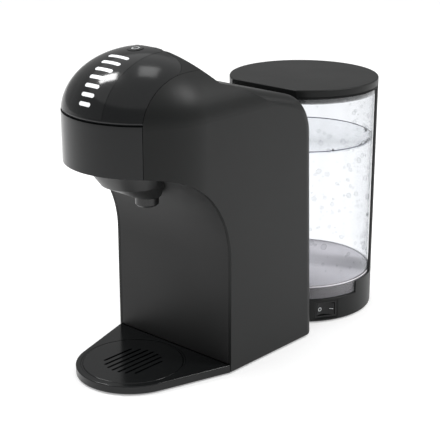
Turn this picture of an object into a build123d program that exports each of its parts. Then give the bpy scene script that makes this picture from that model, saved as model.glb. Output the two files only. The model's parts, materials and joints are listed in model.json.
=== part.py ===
from build123d import *
import math
import os

os.makedirs("parts", exist_ok=True)

# Pod coffee machine, in millimetres.  +Z is up and -Y is the front.  Positions are
# measured from the middle of the cup tray, on the surface that the machine stands on,
# and every piece is moved at the end so that the origin is the middle of the footprint.

# ---- casing ----
BODY_W = 130.0            # across the side panels
NOSE_Y = 19.0             # middle of the half-round front of the head
DOME_Z = 215.0            # where the dome starts
DOME_H = 50.0             # height of the dome above that
WALL = 2.5                # casing wall
SPLIT = 0.3               # open line between two casing pieces
PANEL_Z = 2.0             # lower edge of the side panels
SEAM_X = 45.0             # line between side panels and the middle pieces
HOOD_RISE = 3.0           # line between the head's front and the hood, above DOME_Z
HOOD_END = 23.2           # rear edge of the hood
HOOD_CORNER = 16.0        # rounding of the hood's rear corners
LIP_H = 3.2               # slanted lip along the hood's lower edge
LIP_T = 1.5               # how far the lip leans in

# ---- cup bay ----
HEAD_BOTTOM = 178.0
COLUMN_Y = 47.5           # front face of the column
ARCH_R = 80.0             # quarter round between the column and the head

# ---- roof and rear ----
SLOPE_TOP_Y = 23.5        # the roof leaves the dome's top here
SLOPE = 0.61              # fall of the front roof, per unit of length
CROWN_AXIS_DROP = 100.0   # the front roof is a cone about a line this far below DOME_Z
HUMP_Y = 56.0
HUMP_RISE = 22.4          # the rear roof's height at HUMP_Y, above DOME_Z
HUMP_SLOPE = 0.272        # fall of the rear roof
REAR_Y = 157.6            # foot of the rear face
REAR_LEAN = 0.0404        # the rear face leans forward by this much per unit of height
REAR_ROUND = 37.0         # between roof and rear face
SHOULDER_R = 10.0         # along the roof's sides
FOOT_ROUND = 10.0         # lower rear corner of the body

# ---- base and tray ----
FOOT_H = 1.5              # how far the feet stand out below the base
FOOT_R = 5.0
BASE_TOP = 8.0            # top of the tray's rim
BASE_T = 4.5              # base plate inside the body
TRAY_R = 47.0
PAN_R = 43.0              # recess for the drip pan
PAN_FLOOR = 3.2           # height of the recess's floor
PAN_WALL = 1.4
TAB_T = 2.2               # tab of the tray under the base plate
FIT = 0.3                 # clearance round a loose piece
SCREW_R = 1.5

# ---- brewing head ----
BREW_Y = -8.0             # middle of the capsule chamber
CHAMBER_BORE = 27.4
CHAMBER_WALL = 3.2
CHAMBER_FLOOR = 6.0       # above the head's underside
DECK_DROP = 5.5           # underside of the brew deck below the hood's line
DECK_T = 2.5
HOLDER_WALL = 2.0
LINER_RISE = 4.0          # hood liner above the hood's line
LINER_T = 3.0
PLATE_T = 3.6             # piercing plate
PLATE_GAP = 2.4           # the piercing plate is this much smaller than the chamber's bore
NEEDLE_HOLE = 0.4
FUNNEL_R = 33.0           # rim of the funnel
NOZZLE_Y = 19.5
NOZZLE_R = 9.5
NOZZLE_H = 8.0
FUNNEL_H = 32.0           # from the head's underside down to the nozzle
PORT_GAP = 7.7            # water port's middle, outside the chamber
PORT_ANGLE = 20.0         # and its place round the chamber, from +X
PORT_R = 3.8
SHELF_Z = 150.0           # shelf of the inner frame

# ---- hood hinge ----
HINGE_BACK = 1.3          # behind the hood's rear edge
HINGE_DEPTH = 2.6         # below the dome's top
HINGE_PIN_R = 0.9
HINGE_FIT = 0.05          # running clearance on the radius
KNUCKLE_R = 1.9
HINGE_HALF = 14.0         # half the pin's length

# ---- display ----
STRIP_W = 36.0            # control strip on the hood
STRIP_T = 1.0
STRIP_PROUD = 0.15
BAR_COUNT = 7
BAR_H = 3.2
BAR_W_LOW = 11.5
BAR_W_STEP = 1.6          # each bar is wider than the one below it
BAR_ANGLE_LOW = 18.4      # on the dome's outline, in degrees
BAR_ANGLE_STEP = 7.95
BUTTON_R = 6.2
BUTTON_Y = 10.5
BUTTON_DEPTH = 6.0        # its flange, below the dome's top
BOARD_DROP = 27.0         # display board, below the dome's top
BOARD_T = 1.6

# ---- tank ----
DOCK_GAP = 1.0            # between the body's foot and the dock
DOCK_FLAT = 59.4          # flat front of the dock, measured from the tank's middle
TANK_FLAT = 54.7          # flat front of the tank, the same way
TANK_R = 64.4             # clear wall, outside, at its foot
TANK_FLARE = 0.6          # how much wider the wall is at its top
TANK_WALL = 2.0
TANK_H = 183.6            # clear wall, foot to top
TANK_FLOOR = 11.6         # floor above the wall's foot
RIM_H = 1.5               # black rim round the wall's top
FRAME_T = 1.1             # black frame outside the clear wall
RAIL_FROM = 24.0          # rear rails, in degrees round the tank from +X
RAIL_TO = 48.0
FRONT_RAIL_X = 29.5
FRONT_RAIL_W = 7.0
LID_OVER = 1.9            # lid and dock stand out this far from the wall's foot
LID_H = 6.2
PLUG_H = 5.8              # skirt of the lid inside the wall
DOCK_TOP = 22.0
COLLAR_H = 10.4           # raised rear half of the dock, round the tank's foot
SOCKET_R = 12.0
SOCKET_DEPTH = 10.0
VALVE_R = 8.6
SEAT_GAP = 0.4            # between tank and dock, and between lid and wall

# ---- power switch ----
ROCKER_ANGLE = -30.0      # place round the dock, from +X
ROCKER_W = 20.5
ROCKER_H = 14.5
ROCKER_Z = 11.6
ROCKER_TILT = 6.0         # each way from level
ROCKER_PIN_R = 1.2
GLAND_X = -30.0
GLAND_Z = 11.0
GLAND_R = 5.0

# ---- heights and places that follow ----
NOSE_R = BODY_W / 2
DOME_TOP = DOME_Z + DOME_H
HOOD_Z = DOME_Z + HOOD_RISE
DECK_Z = HOOD_Z - DECK_DROP
DECK_TOP = DECK_Z + DECK_T
CHAMBER_R = CHAMBER_BORE + CHAMBER_WALL
PLATE_R = CHAMBER_BORE - PLATE_GAP
PORT_X = (CHAMBER_R + PORT_GAP) * math.cos(math.radians(PORT_ANGLE))
PORT_Y = BREW_Y + (CHAMBER_R + PORT_GAP) * math.sin(math.radians(PORT_ANGLE))
HINGE_Y = HOOD_END + HINGE_BACK
HINGE_Z = DOME_TOP - HINGE_DEPTH
BOARD_Z = DOME_TOP - BOARD_DROP
DOCK_R = TANK_R + LID_OVER
DOCK_Y = REAR_Y + DOCK_GAP
TANK_Y = DOCK_Y + DOCK_FLAT
TANK_FOOT = DOCK_TOP + SEAT_GAP
TANK_FLOOR_Z = TANK_FOOT + TANK_FLOOR
TANK_TOP = TANK_FOOT + TANK_H
LID_Z = TANK_TOP + SEAT_GAP
LID_TOP = LID_Z + LID_H
Y_MIDDLE = (TANK_Y + DOCK_R - TRAY_R) / 2     # middle of the footprint
FAR = 400.0               # beyond every piece, for cutting blocks


def rod(r, z0, z1, x=0.0, y=0.0):
    return Pos(x, y, (z0 + z1) / 2) * Cylinder(r, z1 - z0)


def ring(r_out, r_in, z0, z1, x=0.0, y=0.0):
    return rod(r_out, z0, z1, x, y) - rod(r_in, z0 - 1, z1 + 1, x, y)


def block(x0, x1, y0, y1, z0, z1):
    centre = Pos((x0 + x1) / 2, (y0 + y1) / 2, (z0 + z1) / 2)
    return centre * Box(x1 - x0, y1 - y0, z1 - z0)


def side_prism(points, half_width):
    """A (Y, Z) outline carried across the machine."""
    face = make_face(Polyline(*points, close=True))
    return extrude(Plane.YZ * face, amount=half_width, both=True)


def x_rod(r, x0, x1, y, z):
    return Pos((x0 + x1) / 2, y, z) * Rot(0, 90, 0) * Cylinder(r, x1 - x0)


def tube(points, r, bend):
    path = FilletPolyline(*points, radius=bend)
    return sweep(Plane(origin=path @ 0, z_dir=path % 0) * Circle(r), path)


def coil(radius, wire, z0, z1, turns, x=0.0, y=0.0):
    path = Helix(pitch=(z1 - z0) / turns, height=z1 - z0, radius=radius, center=(x, y, z0))
    return sweep(Plane(origin=path @ 0, z_dir=path % 0) * Circle(wire), path, is_frenet=True)


def plan(t, z0, z1):
    """Body outline in plan: half-round nose and straight sides, set in by t."""
    nose = rod(NOSE_R - t, z0, z1, 0, NOSE_Y)
    half = BODY_W / 2 - t
    return nose + block(-half, half, NOSE_Y, REAR_Y + WALL, z0, z1)


def dome(t):
    """Front half of an ellipsoid over the nose, set in by t."""
    side = Plane(origin=(0, NOSE_Y, DOME_Z), x_dir=(1, 0, 0), z_dir=(0, -1, 0))
    a, b = NOSE_R - t, DOME_H - t
    arc = EllipticalCenterArc((0, 0), a, b, start_angle=0, arc_size=90)
    face = make_face([arc, Line((0, b), (0, 0)), Line((0, 0), (a, 0))])
    return revolve(side * face, Axis((0, NOSE_Y, DOME_Z), (0, 0, -1)), 180)


def vault(t):
    """The dome's middle section carried to the rear."""
    side = Plane(origin=(0, NOSE_Y, DOME_Z), x_dir=(1, 0, 0), z_dir=(0, -1, 0))
    a, b = NOSE_R - t, DOME_H - t
    arc = EllipticalCenterArc((0, 0), a, b, start_angle=0, arc_size=180)
    face = make_face([arc, Line((-a, 0), (a, 0))])
    return extrude(side * face, amount=-(REAR_Y + WALL - NOSE_Y))


def crown(t):
    """Front roof: a cone whose top line falls from the dome to the rear roof."""
    drop = t * math.hypot(1, SLOPE)
    y0, y1 = NOSE_Y - NOSE_R - WALL, HUMP_Y + REAR_ROUND
    z0 = DOME_TOP - SLOPE * (y0 - SLOPE_TOP_Y) - drop
    z1 = DOME_TOP - SLOPE * (y1 - SLOPE_TOP_Y) - drop
    axis_z = DOME_Z - CROWN_AXIS_DROP
    outline = Polyline((y0, axis_z), (y0, z0), (y1, z1), (y1, axis_z), close=True)
    return revolve(Plane.YZ * make_face(outline), Axis((0, 0, axis_z), (0, 1, 0)), 360)


def loaf(t):
    """Column and rear roof: a side outline carried across, with rounded shoulders."""
    drop = t * math.hypot(1, HUMP_SLOPE)
    back = t * math.hypot(1, REAR_LEAN)
    # where the roof's line meets the rear face's line
    roof_at_0 = DOME_Z + HUMP_RISE + HUMP_SLOPE * HUMP_Y - drop
    rear_at_0 = REAR_Y - back
    z_meet = (roof_at_0 - HUMP_SLOPE * rear_at_0) / (1 - HUMP_SLOPE * REAR_LEAN)
    y_meet = rear_at_0 - REAR_LEAN * z_meet
    y0, z0 = NOSE_Y - NOSE_R - WALL, -WALL
    points = [(y0, z0), (rear_at_0 - REAR_LEAN * z0, z0), (y_meet, z_meet)]
    points.append((y0, roof_at_0 - HUMP_SLOPE * y0))
    body = side_prism(points, BODY_W / 2 - t)
    corner = body.edges().filter_by(Axis.X).sort_by_distance((0, y_meet, z_meet))[0]
    body = fillet(corner, REAR_ROUND - t)
    side_edges = [e for e in body.edges() if abs(e.center().X) > 1]
    rear_edges = [e for e in side_edges if e.center().Z > z_meet - 2 * REAR_ROUND]
    return fillet([e for e in rear_edges if e.center().Y > y0 + 1], SHOULDER_R - t)


def skin(t):
    """Everything under the dome and the vault, set in by t."""
    return dome(t) + vault(t)


def foot_cut(t):
    """What the body's rounded lower rear corner leaves out, set in by t."""
    y, z = REAR_Y - FOOT_ROUND, PANEL_Z + FOOT_ROUND
    return block(-FAR, FAR, y, FAR, -FAR, z) - x_rod(FOOT_ROUND - t, -FAR, FAR, y, z)


def envelope(t, z0):
    return ((plan(t, z0, DOME_Z) + skin(t)) & (crown(t) + loaf(t))) - foot_cut(t)


def arch(t):
    """The cup bay's open space: head underside, quarter round, column front."""
    top, face = HEAD_BOTTOM + t, COLUMN_Y + t
    yc, zc = COLUMN_Y - ARCH_R, HEAD_BOTTOM - ARCH_R
    round_part = CenterArc((yc, zc), ARCH_R + t, 0, 90)
    lines = Polyline((yc, top), (-FAR, top), (-FAR, -WALL), (face, -WALL), (face, zc))
    return extrude(Plane.YZ * make_face([round_part, lines]), amount=BODY_W, both=True)


def dock_outline(r, flat_y):
    """A D in plan: a circle with a flat front."""
    disc = Pos(0, TANK_Y) * Circle(r)
    return disc & (Pos(0, flat_y + r) * Rectangle(3 * r, 2 * r))


def d_solid(r, flat_y, z0, z1):
    return extrude(Pos(0, 0, z0) * dock_outline(r, flat_y), amount=z1 - z0)


parts = {}

# ---- casing shells ----
outer = envelope(0, PANEL_Z)
inner = envelope(WALL, PANEL_Z - WALL)
liner = envelope(WALL + SPLIT, PANEL_Z - WALL)
arch_space = arch(0)
casing = outer - inner - arch_space

edge = SEAM_X - SPLIT / 2
middle_zone = block(-edge, edge, -FAR, FAR, -FAR, FAR)
right_panel = casing & block(SEAM_X + SPLIT / 2, FAR, -FAR, FAR, -FAR, FAR)
parts["right_side_panel"] = right_panel
parts["left_side_panel"] = mirror(right_panel, Plane.YZ)


def hood_zone(grow):
    """Plan area of the hood: straight sides, rounded rear corners."""
    half, rear = edge + min(grow, 0), HOOD_END + grow
    slab = block(-half, half, -FAR, rear, HOOD_Z + SPLIT / 2 - grow, FAR)
    corners = [e for e in slab.edges().filter_by(Axis.Z) if e.center().Y > 0]
    return fillet(corners, HOOD_CORNER)


middle_casing = casing & middle_zone
floor_top = FOOT_H + BASE_T
parts["head_front"] = middle_casing & block(-FAR, FAR, -FAR, NOSE_Y, 0, HOOD_Z - SPLIT / 2)
upper_zone = block(-FAR, FAR, -FAR, NOSE_Y + 10, HOOD_Z - SPLIT / 2, FAR)
rear_zone = block(-FAR, FAR, NOSE_Y, FAR, floor_top + SPLIT, FAR)
barrel_end = HINGE_Y + KNUCKLE_R + 0.7
notch_half = HINGE_HALF + 1
hinge_notch = block(-notch_half, notch_half, 0, barrel_end, HINGE_Z - 6, FAR)
spine = (middle_casing & (upper_zone + rear_zone)) - hood_zone(SPLIT) - arch_space
# room for the hood's rear edge to turn, as far out as the skin stands above the pin
relief_half = NOSE_R * math.sqrt(1 - (1 - HINGE_DEPTH / DOME_H) ** 2)
relief = x_rod(KNUCKLE_R + 0.1, -relief_half, relief_half, HINGE_Y, HINGE_Z)
spine = spine - hinge_notch - (relief & block(-FAR, FAR, -FAR, FAR, HINGE_Z, FAR))
barrel_front = HINGE_Y - KNUCKLE_R - SPLIT
barrel_room = block(-notch_half, notch_half, barrel_front, FAR, HOOD_Z, FAR)
hood = (middle_casing & hood_zone(0)) - barrel_room
lip_cone = Pos(0, NOSE_Y, HOOD_Z + LIP_H / 2) * Cone(NOSE_R - LIP_T, NOSE_R, LIP_H)
lip_room = rod(NOSE_R + WALL, HOOD_Z, HOOD_Z + LIP_H, 0, NOSE_Y) - lip_cone
hood = hood - (lip_room & block(-FAR, FAR, -FAR, NOSE_Y, 0, FAR))

# hinge barrel: two knuckles on the hood, three on the fixed cover, on one pin
knuckle_w = (2 * HINGE_HALF - 4 * 0.4) / 5
knuckle_pitch = knuckle_w + 0.4
outer_skin = skin(0)
for k in range(5):
    x0 = -HINGE_HALF + k * knuckle_pitch
    x1 = x0 + knuckle_w
    knuckle = x_rod(KNUCKLE_R, x0, x1, HINGE_Y, HINGE_Z)
    if k % 2:
        arm = block(x0, x1, barrel_front - 1.4, HINGE_Y, HINGE_Z - 1.7, HINGE_Z + 1.1)
        hood = hood + ((knuckle + arm) & outer_skin)
    else:
        arm = block(x0, x1, HINGE_Y, barrel_end + 3, HINGE_Z - 3.2, HINGE_Z - 0.2)
        spine = spine + ((knuckle + arm) & outer)
pin_bore = x_rod(HINGE_PIN_R + HINGE_FIT, -notch_half, notch_half, HINGE_Y, HINGE_Z)
hood = hood - pin_bore
parts["spine_cover"] = spine - pin_bore
parts["hinge_pin"] = x_rod(HINGE_PIN_R, -HINGE_HALF, HINGE_HALF, HINGE_Y, HINGE_Z)

# ---- cup bay lining ----
drain_r = 9.0
chamber_hole = rod(drain_r, HEAD_BOTTOM - WALL, HEAD_BOTTOM + 2 * WALL, 0, BREW_Y)
lining_zone = block(-FAR, FAR, -FAR, FAR, BASE_TOP + SPLIT, FAR)
parts["bay_lining"] = ((arch(WALL) - arch_space) & liner & lining_zone) - chamber_hole

# ---- control strip, level bars, start button ----
strip_gap = 0.15
strip_low = HOOD_Z + LIP_H + 0.4
strip_back = HOOD_END - 2.6
strip_half = STRIP_W / 2
strip_zone = block(-strip_half, strip_half, -FAR, strip_back, strip_low, FAR)
recess = block(-strip_half - strip_gap, strip_half + strip_gap, -FAR, strip_back + strip_gap,
               strip_low - strip_gap, FAR)
hood = hood - (recess - skin(STRIP_T))
strip = (strip_zone & skin(-STRIP_PROUD)) - skin(STRIP_T - 0.05)
lenses = []
for i in range(BAR_COUNT):
    angle = math.radians(BAR_ANGLE_LOW + i * BAR_ANGLE_STEP)
    y = NOSE_Y - NOSE_R * math.cos(angle)
    z = DOME_Z + DOME_H * math.sin(angle)
    out = (0, -math.cos(angle) / NOSE_R, math.sin(angle) / DOME_H)
    seat = Plane(origin=(0, y, z), x_dir=(1, 0, 0), z_dir=out)
    bar_w = BAR_W_LOW + i * BAR_W_STEP
    window = extrude(seat * SlotOverall(bar_w + 0.2, BAR_H + 0.2), amount=2 * WALL, both=True)
    strip = strip - window
    hood = hood - window
    lens = extrude(seat * SlotOverall(bar_w, BAR_H), amount=2 * WALL, both=True)
    lenses.append((lens & skin(-0.4)) - skin(WALL))
parts["level_lenses"] = Compound(children=[s for lens in lenses for s in lens.solids()])

button_hole = rod(BUTTON_R + 0.2, BOARD_Z + 10, FAR, 0, BUTTON_Y)
hood = hood - button_hole
parts["hood"] = hood
parts["control_strip"] = strip - button_hole
flange_z = DOME_TOP - BUTTON_DEPTH
stem_r = 1.8
switch_top = BOARD_Z + 5.5
cap = rod(BUTTON_R, flange_z, DOME_TOP + WALL, 0, BUTTON_Y) & skin(-0.6)
cap = cap + rod(BUTTON_R + 1.2, flange_z, flange_z + 1.4, 0, BUTTON_Y)
parts["start_button"] = cap + rod(stem_r, switch_top + 1.7, flange_z, 0, BUTTON_Y)
parts["button_spring"] = coil(3.3, 0.3, BOARD_Z + 2.1, flange_z - 0.4, 7, 0, BUTTON_Y)
board = block(-16, 16, -28, BUTTON_Y + 6, BOARD_Z, BOARD_Z + BOARD_T)
parts["display_board"] = board + rod(stem_r + 0.6, BOARD_Z, switch_top, 0, BUTTON_Y)

# ---- inside of the hood ----
liner_z = HOOD_Z + LINER_RISE
inside_hood = skin(WALL + 0.15)
liner_half = edge - 3.25
plate_zone = block(-liner_half, liner_half, -FAR, HOOD_END - 2.2, liner_z, liner_z + LINER_T)
hood_liner = inside_hood & plate_zone
for x in (-12, 12):
    for y in (-22, 8):
        hood_liner = hood_liner + rod(2.2, liner_z + LINER_T - 1, BOARD_Z, x, y)
channel_top = liner_z + LINER_T + 4
channel = block(0, PORT_X + 4, PORT_Y - 9, PORT_Y + 3, liner_z + LINER_T, channel_top)
hood_liner = hood_liner + (channel & inside_hood)
feed_hole = rod(NEEDLE_HOLE, DECK_Z, BOARD_Z, 0, BREW_Y)
parts["hood_liner"] = hood_liner - rod(3 * NEEDLE_HOLE, DECK_Z, liner_z + 5, 0, BREW_Y)
plate_z = liner_z - PLATE_T
plate_hole = rod(3 * NEEDLE_HOLE, DECK_Z, BOARD_Z, 0, BREW_Y)
parts["piercing_plate"] = rod(PLATE_R, plate_z, liner_z, 0, BREW_Y) - plate_hole
needle = Pos(0, BREW_Y, plate_z - 5) * Cone(0.6, 3.0, 10)
parts["piercing_needle"] = needle - feed_hole
parts["brew_seal"] = ring(PLATE_R + 3.0, PLATE_R + 0.1, plate_z - 0.6, liner_z, 0, BREW_Y)

# ---- brewing head below the hood ----
deck_half = edge - 0.25
cheek_t = 2.4
inner_half = deck_half - cheek_t
deck_back = barrel_end - 0.1
well = liner & block(-deck_half, deck_half, -FAR, deck_back, DECK_Z, FAR)
cheek_skin = skin(WALL + 0.5)
pocket = block(-inner_half, inner_half, -FAR, HOOD_END + 1.6, DECK_TOP, FAR)
deck = (well & (cheek_skin + plan(WALL + SPLIT, DECK_Z, DECK_TOP + 0.1))) - pocket
deck = deck - hinge_notch - rod(CHAMBER_R + FIT, 0, DECK_TOP + 1, 0, BREW_Y)
deck = deck - rod(PORT_R + 0.2, 0, DECK_TOP + 1, PORT_X, PORT_Y)
front_open = block(-FAR, FAR, -FAR, NOSE_Y - 30, DECK_TOP, HOOD_Z + 0.5)
parts["brew_deck"] = deck - (front_open - plan(WALL + 2, 0, FAR))
port_low = DECK_Z - 6
parts["water_port"] = ring(PORT_R, 1.5, port_low, liner_z - FIT, PORT_X, PORT_Y)

chamber_floor = HEAD_BOTTOM + CHAMBER_FLOOR
chamber_top = DECK_TOP - 0.2
chamber = rod(CHAMBER_R, HEAD_BOTTOM + WALL + FIT, chamber_top, 0, BREW_Y)
chamber = chamber - rod(CHAMBER_BORE, chamber_floor, FAR, 0, BREW_Y)
parts["brew_chamber"] = chamber - rod(5, HEAD_BOTTOM, chamber_floor + 1, 0, BREW_Y)

holder_r = CHAMBER_BORE - FIT
collar_low = chamber_top + 0.2
holder_top = chamber_top + 2.4
holder = rod(holder_r, chamber_floor + FIT, holder_top, 0, BREW_Y)
holder = holder + rod(CHAMBER_R - 0.2, collar_low, holder_top, 0, BREW_Y)
tab_front = BREW_Y - CHAMBER_R - 3.6
tab_back = BREW_Y - CHAMBER_BORE + 5
holder = holder + block(-9, 9, tab_front, tab_back, collar_low, holder_top)
holder = holder - rod(holder_r - HOLDER_WALL, chamber_floor + 2.4, FAR, 0, BREW_Y)
for k in range(6):
    a = math.radians(60 * k)
    x, y = 5 * math.cos(a), BREW_Y + 5 * math.sin(a)
    holder = holder - rod(1.5, HEAD_BOTTOM, chamber_floor + 3, x, y)
parts["capsule_holder"] = holder

# funnel below the chamber, leading back to the nozzle
funnel_top = HEAD_BOTTOM - 0.3
funnel_end = HEAD_BOTTOM - FUNNEL_H
belly_z = HEAD_BOTTOM - 18


def bowl(t):
    lip = Pos(0, -2, funnel_top + t / 10) * Circle(FUNNEL_R - t)
    belly = Pos(0, 4, belly_z) * Circle(FUNNEL_R - 8 - t)
    foot = Pos(0, NOZZLE_Y, funnel_end - t / 10) * Circle(NOZZLE_R + 2 - t)
    return loft([lip, belly, foot], ruled=True)


parts["outlet_funnel"] = (bowl(0) & arch(-SPLIT)) - bowl(2.0)
nozzle_low = funnel_end - NOZZLE_H
nozzle = rod(NOZZLE_R, nozzle_low, funnel_end - 0.1, 0, NOZZLE_Y)
nozzle = chamfer(nozzle.edges().group_by(Axis.Z)[0], 1.5)
nozzle = nozzle - rod(NOZZLE_R - 2.2, nozzle_low + 3, funnel_end + 1, 0, NOZZLE_Y)
for x in (-3.5, 3.5):
    nozzle = nozzle - rod(1.8, nozzle_low - 1, nozzle_low + 5, x, NOZZLE_Y)
parts["brew_nozzle"] = nozzle

# ---- tray base: the tongue under the cup bay, with the drip pan's recess ----
half_body = BODY_W / 2
corner_x = half_body - 0.6
corner_y = COLUMN_Y - SPLIT
reach = math.hypot(corner_x, corner_y)
turn = math.atan2(corner_y, corner_x) - math.acos(TRAY_R / reach)
touch = (TRAY_R * math.cos(turn), TRAY_R * math.sin(turn))
flare = Polyline(touch, (corner_x, corner_y), (-corner_x, corner_y), (-touch[0], touch[1]),
                 close=True)
tongue_face = Circle(TRAY_R) + make_face(flare)
tongue = extrude(Pos(0, 0, FOOT_H) * tongue_face, amount=BASE_TOP - FOOT_H)
tongue = fillet(tongue.edges().group_by(Axis.Z)[-1], 1.0)
tab_half = SEAM_X - 4
tab_end = corner_y + 16
tab = block(-tab_half, tab_half, corner_y - 1, tab_end, FOOT_H, FOOT_H + TAB_T)
tray = tongue + tab - rod(PAN_R, PAN_FLOOR, BASE_TOP + 1)

# ---- base plate: floor of the body and of the dock ----
floor_plate = liner & block(-FAR, FAR, corner_y, FAR, FOOT_H, floor_top)
floor_plate = floor_plate & plan(WALL + SPLIT, FOOT_H, floor_top)
dock_floor_top = floor_top - 0.2
bridge_half = SEAM_X - 2
bridge = block(-bridge_half, bridge_half, REAR_Y - 18, DOCK_Y + 20, FOOT_H, dock_floor_top)
floor_gap = WALL + SPLIT
dock_floor = d_solid(DOCK_R - floor_gap, DOCK_Y + floor_gap, FOOT_H, dock_floor_top)
tab_room = block(-tab_half - FIT, tab_half + FIT, 0, tab_end + FIT, 0, FOOT_H + TAB_T + 0.1)
base = floor_plate + bridge + dock_floor - tab_room

side_x = half_body - 17
front_foot_y, rear_foot_y = tab_end + FOOT_R + 1, REAR_Y - 18
dock_foot_y = TANK_Y + DOCK_R - 22
foot_places = [(-28, -22), (28, -22), (-side_x, front_foot_y), (side_x, front_foot_y),
               (-side_x, rear_foot_y), (side_x, rear_foot_y), (0, dock_foot_y)]
tab_screw_y, rear_screw_y, dock_screw_y = corner_y + 8, REAR_Y - 28, TANK_Y + 22
screw_places = [(-30, tab_screw_y), (30, tab_screw_y), (-30, rear_screw_y), (30, rear_screw_y),
                (-26, dock_screw_y), (26, dock_screw_y)]
feet = []
screws = []
head_r, head_low, head_top = 2.9, FOOT_H + 0.1, FOOT_H + 1.4
for x, y in foot_places:
    pocket_hole = rod(FOOT_R + 0.2, 0, FOOT_H + 1.2, x, y)
    base = base - pocket_hole
    tray = tray - pocket_hole
    feet.append(rod(FOOT_R, 0, FOOT_H + 1.1, x, y))
for x, y in screw_places:
    screw_hole = rod(head_r + FIT, 0, head_top, x, y) + rod(SCREW_R + 0.2, 0, BASE_TOP, x, y)
    base = base - screw_hole
    tray = tray - screw_hole
    head = rod(head_r, head_low, head_top, x, y)
    cross = block(x - 1.6, x + 1.6, y - 0.35, y + 0.35, 0, FOOT_H + 0.7)
    cross = cross + block(x - 0.35, x + 0.35, y - 1.6, y + 1.6, 0, FOOT_H + 0.7)
    screws.append((head - cross) + rod(SCREW_R, head_top, floor_top - 0.3, x, y))
parts["tray_base"] = tray
parts["feet"] = Compound(children=feet)
parts["base_screws"] = Compound(children=screws)

# ---- drip pan and cup plate ----
pan_r = PAN_R - FIT
pan = rod(pan_r, PAN_FLOOR, BASE_TOP - 0.2)
pan = pan - rod(pan_r - PAN_WALL, PAN_FLOOR + 1, BASE_TOP)
plate_low = BASE_TOP - 1.8
stud_round = pan_r - PAN_WALL - 8
for k in range(4):
    a = math.radians(45 + 90 * k)
    x, y = stud_round * math.cos(a), stud_round * math.sin(a)
    pan = pan + rod(3, PAN_FLOOR + 0.5, plate_low, x, y)
parts["drip_pan"] = pan
cup_plate = rod(pan_r - PAN_WALL - FIT, plate_low, BASE_TOP + 0.2)
cup_plate = fillet(cup_plate.edges().group_by(Axis.Z)[-1], 0.6)
slot_round = 24.0
slot_pitch = 6.0
for k in range(-3, 4):
    length = 2 * math.sqrt(slot_round ** 2 - (slot_pitch * k) ** 2)
    slot = Pos(slot_pitch * k, 0, plate_low - 1) * Rot(0, 0, 90) * SlotOverall(length, 2.4)
    cup_plate = cup_plate - extrude(slot, amount=6)
parts["cup_plate"] = cup_plate

# ---- inner frame ----
frame_low = floor_top + 0.2
frame_front = COLUMN_Y + 14.5
frame_back = REAR_Y - 15.6
room = frame_back - frame_front
card_x = half_body - 13.8
shelf_half = card_x - 3.2
frame = block(-1.5, 1.5, frame_front, frame_back, frame_low, SHELF_Z)
frame = frame + block(-24, 24, frame_front + 18, frame_back - 18, frame_low, frame_low + 2.5)
shelf_front, shelf_back = frame_front + 4, frame_back - 4
frame = frame + block(-shelf_half, shelf_half, shelf_front, shelf_back, SHELF_Z, SHELF_Z + WALL)
for y in (frame_front + 0.16 * room, frame_back - 0.21 * room):
    frame = frame - x_rod(0.15 * room, -5, 5, y, 100)
parts["inner_frame"] = frame


def y_rod(r, y0, y1, x, z):
    return Pos(x, (y0 + y1) / 2, z) * Rot(90, 0, 0) * Cylinder(r, y1 - y0)


# ---- pump on its rubber mounts ----
pump_x, pump_y, pump_z = 27.0, (frame_front + frame_back) / 2 - 2, 58.0
coil_half, neck_half, spout_half = 0.225 * room, 0.44 * room, 0.525 * room
pump = block(pump_x - 15, pump_x + 15, pump_y - coil_half, pump_y + coil_half,
             pump_z - 16, pump_z + 16)
pump = fillet(pump.edges().filter_by(Axis.Y), 3)
neck_r = 9.0
pump = pump + y_rod(neck_r, pump_y - neck_half, pump_y + neck_half, pump_x, pump_z)
pump = pump + y_rod(4, pump_y - spout_half, pump_y + spout_half, pump_x, pump_z)
parts["pump"] = pump
mounts = []
for y in (pump_y - coil_half - 7, pump_y + coil_half + 7):
    pad = block(1.8, pump_x + 15, y - 3, y + 3, pump_z - 14, pump_z + 14)
    mounts.append(pad - y_rod(neck_r + 0.1, y - 10, y + 10, pump_x, pump_z))
parts["pump_mounts"] = Compound(children=mounts)

# ---- heater ----
heater_x, heater_low, heater_high = -31.0, 60.0, 112.0
heater_front, heater_back = pump_y - 0.375 * room, pump_y + 0.35 * room
heater_side = heater_x - 19
heater = block(heater_side, heater_x + 19, heater_front, heater_back, heater_low, heater_high)
heater = fillet(heater.edges().filter_by(Axis.Y), 5)
for z in (72, 86, 100):
    heater = heater - y_rod(2.5, heater_front - 11, heater_back + 11, heater_side, z)
feed_x, feed_y = heater_x + 1, heater_front + 14
heater_top = heater_high + 8
parts["thermoblock"] = heater + rod(4, heater_high - 2, heater_top, feed_x, feed_y)
brackets = []
for y in (heater_front + 8, heater_back - 8):
    brackets.append(block(heater_x + 19, -1.8, y - 4, y + 4, heater_low + 6, heater_high - 6))
parts["heater_brackets"] = Compound(children=brackets)

# ---- flow meter ----
meter_y, meter_z = pump_y + 0.35 * room, 110.0
meter = x_rod(13, pump_x - 8, pump_x + 6, meter_y, meter_z)
parts["flow_meter"] = meter + block(1.8, pump_x - 7, meter_y - 6, meter_y + 6, 104, 116)

# ---- control board, hung from the shelf ----
card_front, card_back = pump_y - 0.35 * room, pump_y + 0.475 * room
card = block(card_x, card_x + BOARD_T, card_front, card_back, 84, 146)
relay_y, chip_y, capacitor_y = (card_front + share * room for share in (0.2, 0.52, 0.55))
card = card + block(card_x - 9.2, card_x, relay_y - 8, relay_y + 8, 120, 138)
card = card + block(card_x - 7.2, card_x, chip_y - 10, chip_y + 10, 90, 108)
parts["control_board"] = card + x_rod(6, card_x - 9, card_x + 0.5, capacitor_y, 131)
hangers = []
for y0 in (card_front, card_back - 4):
    hangers.append(block(card_x - 7.2, card_x + BOARD_T, y0, y0 + 4, 146.2, SHELF_Z - 0.2))
parts["board_brackets"] = Compound(children=hangers)

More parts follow.
